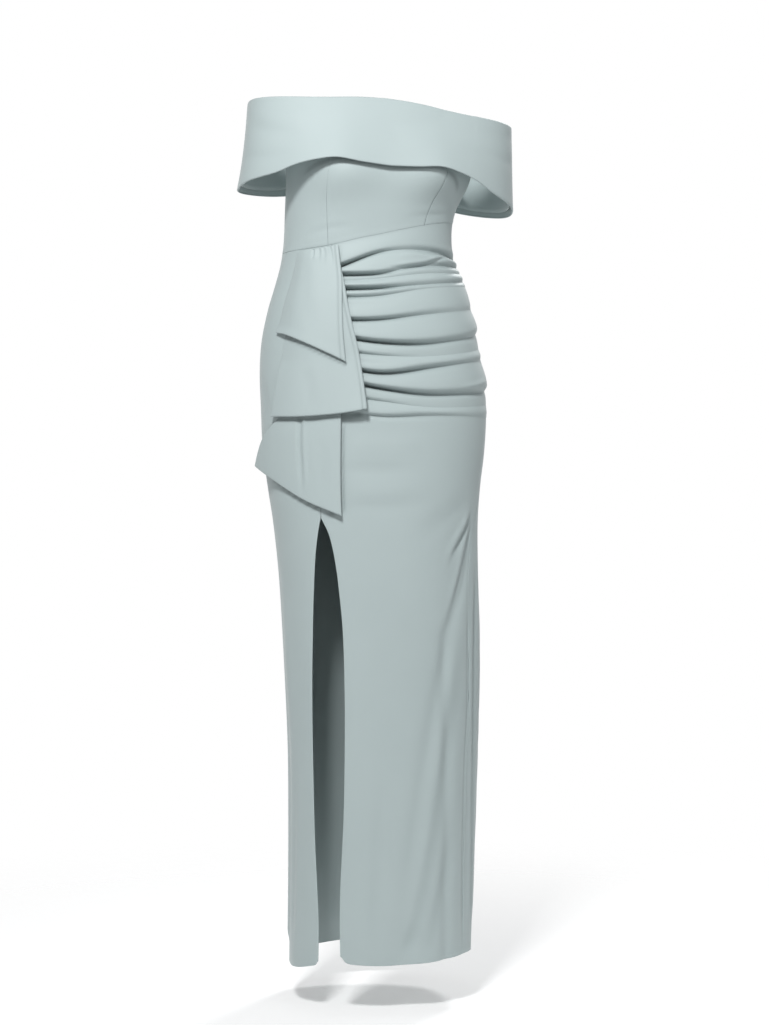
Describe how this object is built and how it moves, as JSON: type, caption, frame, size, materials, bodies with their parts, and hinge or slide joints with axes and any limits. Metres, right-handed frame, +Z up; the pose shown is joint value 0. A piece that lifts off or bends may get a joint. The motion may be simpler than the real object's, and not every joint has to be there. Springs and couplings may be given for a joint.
{
  "type": "off-the-shoulder maxi dress",
  "caption": "Fitted column gown in crepe with a fold-over collar round the upper arms, a ruched left front, a tiered hip cascade and a front slit.",
  "frame": {"origin": "the middle of the torso at underarm height, where the bodice and the collar hold on the body that wears it", "axes": "+Z up along the body, -Y the dress's front, +X the wearer's left"},
  "size_m": [0.458, 0.2761, 1.4125],
  "materials": {
    "crepe": "smooth matt stretch crepe with a fine pebble and a slight sheen, pale sage green",
    "zip_tape": "woven zip tape, dyed to match"
  },
  "bodies": {
    "root": {"bodice_front_centre": "crepe", "bodice_side_front_left": "crepe", "bodice_side_front_right": "crepe", "bodice_back_left": "crepe", "bodice_back_right": "crepe", "skirt_front_left_ruched": "crepe", "skirt_front_right": "crepe", "skirt_back_left": "crepe", "skirt_back_right": "crepe", "cascade_tier_upper": "crepe", "cascade_tier_middle": "crepe", "cascade_tier_lower": "crepe", "collar_front": "crepe", "collar_back_left": "crepe", "collar_back_right": "crepe", "back_zip": "zip_tape"}
  },
  "joints": []
}
